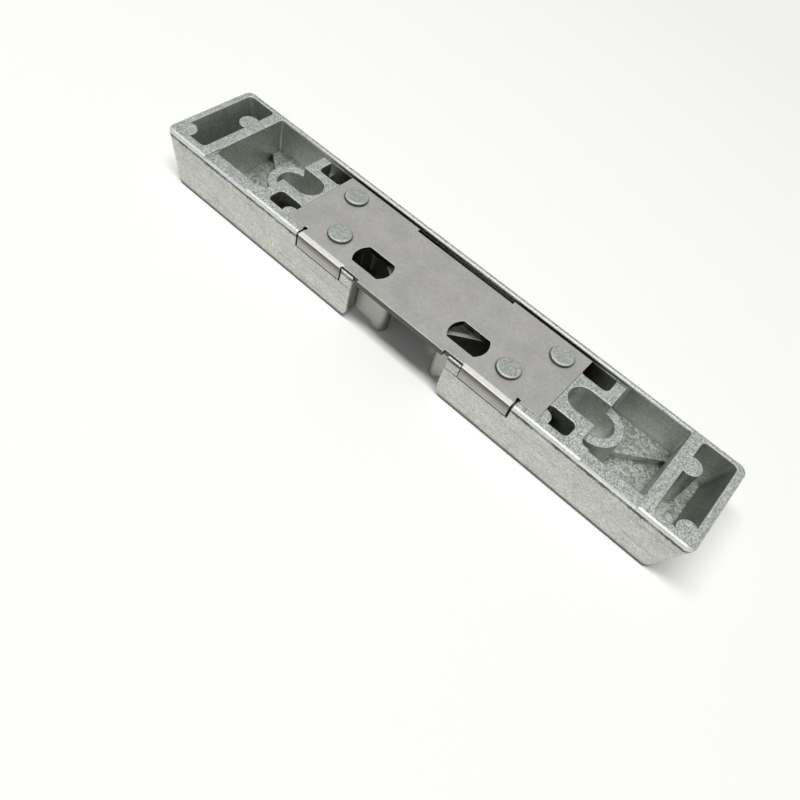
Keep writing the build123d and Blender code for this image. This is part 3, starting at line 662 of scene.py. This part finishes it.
class CATCH_OT_stage(bpy.types.Operator):
    """Lay the table, hang the lamps and set the camera at the photo's angle"""
    bl_idname = "catch.stage"
    bl_label = "Stage"

    def execute(self, context):
        settings = context.scene.catch_stage
        lay_table(settings)
        light_world(context.scene)
        # one long lamp nearly overhead, a little to the front, as the shadow in the mouth shows, in a
        # wide dim box: the metal mirrors the box, so that flat tops don't burn out when seen from above
        lamp = hang_lamp("long_lamp", *LONG_LAMP)
        lamp.visible_glossy = False
        box = hang_lamp("soft_box", *SOFT_BOX)
        box.visible_diffuse = False
        set_camera(context.scene, settings)
        context.scene.view_settings.view_transform = "Standard"
        return {"FINISHED"}


def lay_table(settings):
    bm = bmesh.new()
    bmesh.ops.create_grid(bm, x_segments=1, y_segments=1, size=settings.floor_size / 2)
    bmesh.ops.translate(bm, verts=bm.verts, vec=(0.0, 0.0, -TABLE_DROP))
    table = object_from(bm, "table")
    material, tree = new_material("white_laminate")
    # plain laminate, photographed nearly white: a glow that only the camera and the mirrors see makes up
    # for the lamp's fading light away from the catch, and dims to the backdrop's grey at the far edge
    diffuse = add_node(tree, "ShaderNodeBsdfDiffuse", {"Color": linear(settings.floor)})
    place = add_node(tree, "ShaderNodeTexCoord").outputs["Object"]
    away = add_node(tree, "ShaderNodeVectorMath", {0: place}, operation="LENGTH").outputs["Value"]
    rise = add_node(tree, "ShaderNodeMapRange", {
        "Value": away, "From Min": GLOW_RISE[0], "From Max": GLOW_RISE[1],
        "To Min": 0.03, "To Max": 0.55})
    fall = add_node(tree, "ShaderNodeMapRange", {
        "Value": away, "From Min": GLOW_FALL[0], "From Max": GLOW_FALL[1],
        "To Min": 1.0, "To Max": 0.5})
    lift = rise.outputs[0]
    for layer in (fall.outputs[0], seen_rays(tree)):
        lift = add_node(tree, "ShaderNodeMath", {0: lift, 1: layer}, operation="MULTIPLY").outputs[0]
    glow = add_node(tree, "ShaderNodeEmission", {"Color": WHITE, "Strength": lift})
    both = add_node(tree, "ShaderNodeAddShader", {0: diffuse.outputs[0], 1: glow.outputs[0]})
    finish_surface(tree, both)
    dress(table, material)


def seen_rays(tree):
    """1 for the rays that show the stage: the camera's, and those that a mirror or glass sends on."""
    path = add_node(tree, "ShaderNodeLightPath")
    seen = add_node(tree, "ShaderNodeMath", {
        0: path.outputs["Is Camera Ray"], 1: path.outputs["Is Glossy Ray"]}, operation="MAXIMUM")
    return add_node(tree, "ShaderNodeMath", {
        0: seen.outputs[0], 1: path.outputs["Is Transmission Ray"]}, operation="MAXIMUM").outputs[0]


def light_world(scene):
    world = bpy.data.worlds.new("soft_room")
    scene.world = world
    world.use_nodes = True
    tree = world.node_tree
    tree.nodes.clear()
    direction = add_node(tree, "ShaderNodeTexCoord").outputs["Generated"]
    height = add_node(tree, "ShaderNodeSeparateXYZ", {0: direction}).outputs["Z"]
    # a plain backdrop, paler overhead, which the camera sees and the metal mirrors
    pale = add_node(tree, "ShaderNodeMapRange", {
        "Value": height, "From Min": 0.0, "From Max": 0.6, "To Min": BACKDROP[0], "To Max": BACKDROP[1]})
    room = add_node(tree, "ShaderNodeBackground", {"Color": ROOM_TINT, "Strength": ROOM_LIGHT})
    backdrop = add_node(tree, "ShaderNodeBackground", {"Color": WHITE, "Strength": pale.outputs[0]})
    mix = add_node(tree, "ShaderNodeMixShader", {
        0: seen_rays(tree), 1: room.outputs[0], 2: backdrop.outputs[0]})
    add_node(tree, "ShaderNodeOutputWorld", {"Surface": mix.outputs[0]})


def turned(right, back):
    """A rotation whose local X lies along right and whose local Z lies along back."""
    back = back.normalized()
    right = (right - back * right.dot(back)).normalized()
    return Matrix((right, back.cross(right), back)).transposed().to_4x4()


def hang_lamp(name, place, size, power):
    data = bpy.data.lights.new(name, "AREA")
    data.shape = "RECTANGLE"
    data.size, data.size_y = size
    data.energy = power
    lamp = bpy.data.objects.new(name, data)
    lamp.matrix_world = Matrix.Translation(place) @ turned(Vector((1.0, 0.0, 0.0)), Vector(place))
    bpy.context.scene.collection.objects.link(lamp)
    return lamp


def set_camera(scene, settings):
    data = bpy.data.cameras.new("photo_camera")
    data.lens = settings.lens
    data.sensor_width = SENSOR_WIDTH
    data.clip_start = 5 * MM
    camera = bpy.data.objects.new("photo_camera", data)
    right = Vector(CAMERA_RIGHT)
    back = right.cross(Vector(CAMERA_UP))
    camera.matrix_world = Matrix.Translation(CAMERA_PLACE) @ turned(right, back)
    scene.collection.objects.link(camera)
    scene.camera = camera


class CATCH_PT_panel(bpy.types.Panel):
    bl_label = "Door catch"
    bl_idname = "CATCH_PT_panel"
    bl_space_type = "VIEW_3D"
    bl_region_type = "UI"
    bl_category = "Door catch"

    def draw(self, context):
        for operator in OPERATORS:
            self.layout.operator(operator.bl_idname)
        scene = context.scene
        for group in (scene.catch_finish, scene.catch_spring, scene.catch_stage):
            box = self.layout.box()
            for name in group.__annotations__:
                box.prop(group, name)


OPERATORS = (CATCH_OT_housing, CATCH_OT_back_plate, CATCH_OT_jaws, CATCH_OT_springs, CATCH_OT_stage)
CLASSES = (CatchFinish, CatchSpring, CatchStage, *OPERATORS, CATCH_PT_panel)


def register():
    for cls in CLASSES:
        bpy.utils.register_class(cls)
    bpy.types.Scene.catch_finish = PointerProperty(type=CatchFinish)
    bpy.types.Scene.catch_spring = PointerProperty(type=CatchSpring)
    bpy.types.Scene.catch_stage = PointerProperty(type=CatchStage)


def unregister():
    for name in ("catch_stage", "catch_spring", "catch_finish"):
        delattr(bpy.types.Scene, name)
    for cls in reversed(CLASSES):
        bpy.utils.unregister_class(cls)


def main():
    register()
    bpy.ops.catch.housing()
    bpy.ops.catch.back_plate()
    bpy.ops.catch.jaws()
    bpy.ops.catch.springs()
    bpy.ops.catch.stage()


if __name__ == "__main__":
    main()
